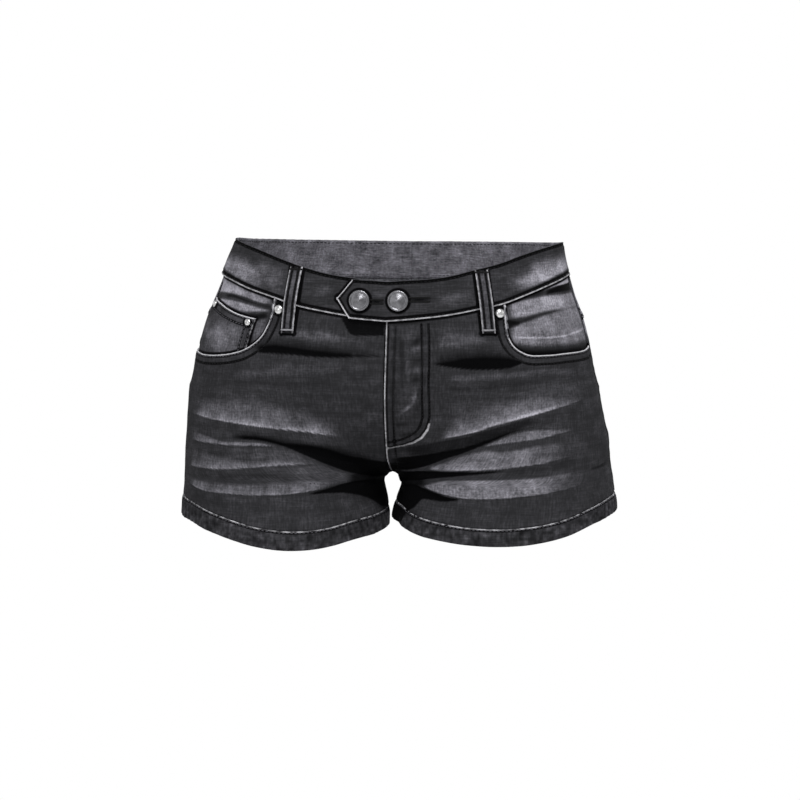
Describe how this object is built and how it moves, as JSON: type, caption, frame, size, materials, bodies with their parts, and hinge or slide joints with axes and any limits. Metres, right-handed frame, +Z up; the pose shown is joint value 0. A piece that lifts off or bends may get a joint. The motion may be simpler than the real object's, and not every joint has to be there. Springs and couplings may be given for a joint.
{
  "type": "denim shorts",
  "caption": "Low-rise denim shorts as worn, hollow and open, with a waistband and pointed tab, belt loops, pockets, back yokes and doubled leg hems.",
  "frame": {"origin": "inside the waist opening, on the centre seam, at the height where the waistband sits on the wearer", "axes": "+X to the wearer's left, -Y out of the front, +Z up out of the waist"},
  "size_m": [0.3938, 0.234, 0.2685],
  "materials": {
    "denim": "washed black denim, faded to pale grey on the folds",
    "steel": "satin nickel"
  },
  "bodies": {
    "root": {"front_right": "denim", "front_left": "denim", "back_right": "denim", "back_left": "denim", "yoke_right": "denim", "yoke_left": "denim", "waistband_right": "denim", "waistband_left": "denim", "belt_loop_front_right": "denim", "belt_loop_front_left": "denim", "belt_loop_back_right": "denim", "belt_loop_back_left": "denim", "belt_loop_centre_back": "denim", "pocket_facing_right": "denim", "pocket_facing_left": "denim", "coin_pocket": "denim", "back_pocket_right": "denim", "back_pocket_left": "denim", "hem_right": "denim", "hem_left": "denim", "fly_shield": "denim", "fly_zip": "denim", "button_1": "steel", "button_2": "steel", "rivet_pocket_right": "steel", "rivet_pocket_left": "steel", "rivet_coin_inner": "steel", "rivet_coin_outer": "steel"}
  },
  "joints": []
}
